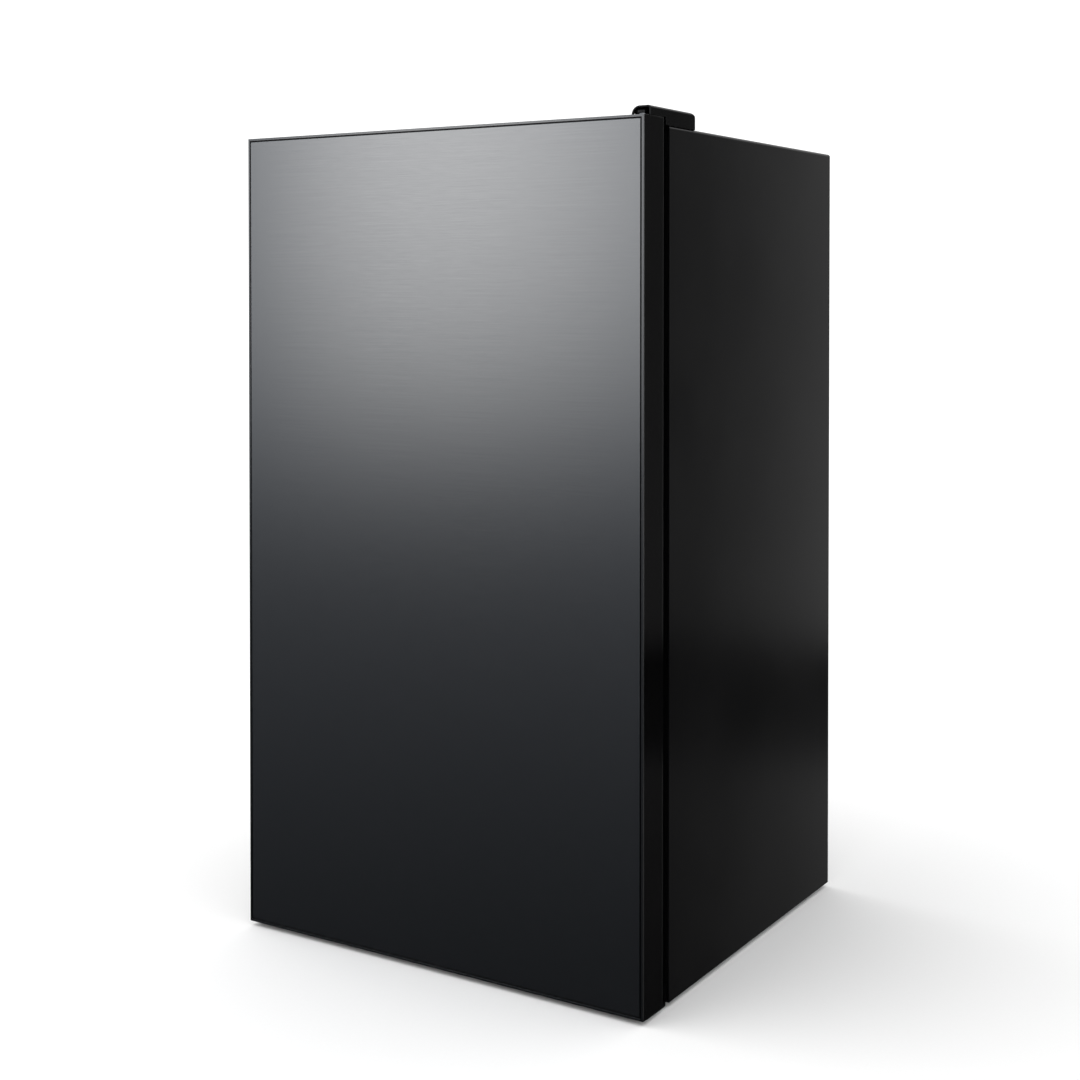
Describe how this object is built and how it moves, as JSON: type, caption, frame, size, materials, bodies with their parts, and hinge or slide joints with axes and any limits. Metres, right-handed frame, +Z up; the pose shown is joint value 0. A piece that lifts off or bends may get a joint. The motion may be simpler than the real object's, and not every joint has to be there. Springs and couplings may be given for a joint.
{
  "type": "mini fridge",
  "caption": "Compact under-counter refrigerator, flat dark metal door hinged on the right with a side finger grip, freezer box, shelves, crisper and rear compressor.",
  "frame": {"origin": "on the floor under the middle of the fridge's outer box", "axes": "+Z up, +Y from the door to the back, +X to the right of a person facing the door"},
  "size_m": [0.475, 0.438, 0.8445],
  "materials": {
    "door_metal": "satin",
    "cabinet_black": "semi-gloss",
    "back_grey": "satin",
    "zinc_steel": "satin",
    "hinge_steel": "satin",
    "screw_steel": "bright",
    "black_plastic": "matte",
    "liner_white": "satin",
    "white_plastic": "satin",
    "clear_plastic": "glossy",
    "shelf_glass": "glossy",
    "aluminium": "satin",
    "copper": "satin",
    "compressor_black": "gloss",
    "rubber_black": "matte",
    "gasket_grey": "matte",
    "foam_yellow": "matte",
    "bush_plastic": "matte",
    "chrome_wire": "bright"
  },
  "bodies": {
    "cabinet": {"outer_shell": "cabinet_black", "front_rail": "cabinet_black", "base_plate": "zinc_steel", "back_panel": "back_grey", "back_panel_screws": "screw_steel", "compressor_step_plate": "zinc_steel", "compressor_rail": "zinc_steel", "power_inlet_gland": "rubber_black", "inner_liner": "liner_white", "cabinet_foam": "foam_yellow", "condenser_coil": "copper", "rear_feet": "black_plastic", "compressor_shell": "compressor_black", "compressor_feet": "zinc_steel", "compressor_grommets": "rubber_black", "compressor_bolts": "screw_steel", "relay_cover": "black_plastic", "discharge_line": "copper", "suction_line": "copper", "condenser_return": "copper", "filter_drier": "copper", "capillary_tube": "copper", "top_hinge_plate": "hinge_steel", "top_hinge_pin": "hinge_steel", "hinge_screws": "screw_steel", "top_hinge_cover": "black_plastic", "hinge_hole_plugs": "black_plastic", "bottom_hinge_bracket": "hinge_steel", "bottom_hinge_pin": "hinge_steel", "evaporator_box": "aluminium", "evaporator_spacers": "white_plastic", "freezer_frame": "white_plastic", "crisper_cover_glass": "shelf_glass", "thermostat_housing": "white_plastic", "thermostat_body": "black_plastic"},
    "door": {"door_front_panel": "door_metal", "door_side_trim_left": "black_plastic", "door_side_trim_right": "black_plastic", "door_grip_cup": "black_plastic", "door_top_cap": "black_plastic", "door_bottom_cap": "black_plastic", "door_bushes": "bush_plastic", "door_liner": "liner_white", "door_foam": "foam_yellow", "door_gasket": "gasket_grey"},
    "bin_upper": {"upper_bin": "clear_plastic"},
    "bin_middle": {"middle_bin": "clear_plastic"},
    "bin_lower": {"lower_bin": "clear_plastic", "bottle_rail": "chrome_wire"},
    "flap": {"freezer_flap": "clear_plastic"},
    "tray": {"drip_tray": "white_plastic"},
    "shelf_upper": {"upper_shelf_glass": "shelf_glass", "upper_shelf_trim": "white_plastic"},
    "shelf_lower": {"lower_shelf_glass": "shelf_glass", "lower_shelf_trim": "white_plastic"},
    "crisper": {"crisper_drawer": "clear_plastic"},
    "knob": {"thermostat_knob": "white_plastic"},
    "foot_left": {"front_foot_left": "black_plastic"},
    "foot_right": {"front_foot_right": "black_plastic"}
  },
  "joints": [
    {"name": "door_hinge", "type": "hinge", "parent": "cabinet", "child": "door", "pos_m": [0.226, -0.199, 0.4], "axis": [0, 0, 1], "range_deg": [0, 115]},
    {"name": "bin_upper_lift", "type": "slide", "parent": "door", "child": "bin_upper", "axis": [0, 0, 1], "range_m": [0, 0.018]},
    {"name": "bin_middle_lift", "type": "slide", "parent": "door", "child": "bin_middle", "axis": [0, 0, 1], "range_m": [0, 0.018]},
    {"name": "bin_lower_lift", "type": "slide", "parent": "door", "child": "bin_lower", "axis": [0, 0, 1], "range_m": [0, 0.018]},
    {"name": "flap_hinge", "type": "hinge", "parent": "cabinet", "child": "flap", "pos_m": [0, -0.093, 0.776], "axis": [-1, 0, 0], "range_deg": [0, 85]},
    {"name": "tray_slide", "type": "slide", "parent": "cabinet", "child": "tray", "axis": [0, -1, 0], "range_m": [0, 0.1]},
    {"name": "shelf_upper_slide", "type": "slide", "parent": "cabinet", "child": "shelf_upper", "axis": [0, -1, 0], "range_m": [0, 0.08]},
    {"name": "shelf_lower_slide", "type": "slide", "parent": "cabinet", "child": "shelf_lower", "axis": [0, -1, 0], "range_m": [0, 0.08]},
    {"name": "crisper_slide", "type": "slide", "parent": "cabinet", "child": "crisper", "axis": [0, -1, 0], "range_m": [0, 0.15]},
    {"name": "knob_turn", "type": "hinge", "parent": "cabinet", "child": "knob", "pos_m": [0.17, -0.07, 0.618], "axis": [0, -1, 0], "range_deg": [0, 300]},
    {"name": "foot_left_screw", "type": "slide", "parent": "cabinet", "child": "foot_left", "axis": [0, 0, -1], "range_m": [0, 0.012]},
    {"name": "foot_right_screw", "type": "slide", "parent": "cabinet", "child": "foot_right", "axis": [0, 0, -1], "range_m": [0, 0.012]}
  ],
  "couplings": [
    {"joint": "flap_hinge", "follows": "door_hinge", "ratio": 0.7391},
    {"joint": "tray_slide", "follows": "door_hinge", "m_per_rad": 0.04982},
    {"joint": "shelf_upper_slide", "follows": "door_hinge", "m_per_rad": 0.03985},
    {"joint": "shelf_lower_slide", "follows": "door_hinge", "m_per_rad": 0.03985},
    {"joint": "crisper_slide", "follows": "door_hinge", "m_per_rad": 0.07473}
  ]
}
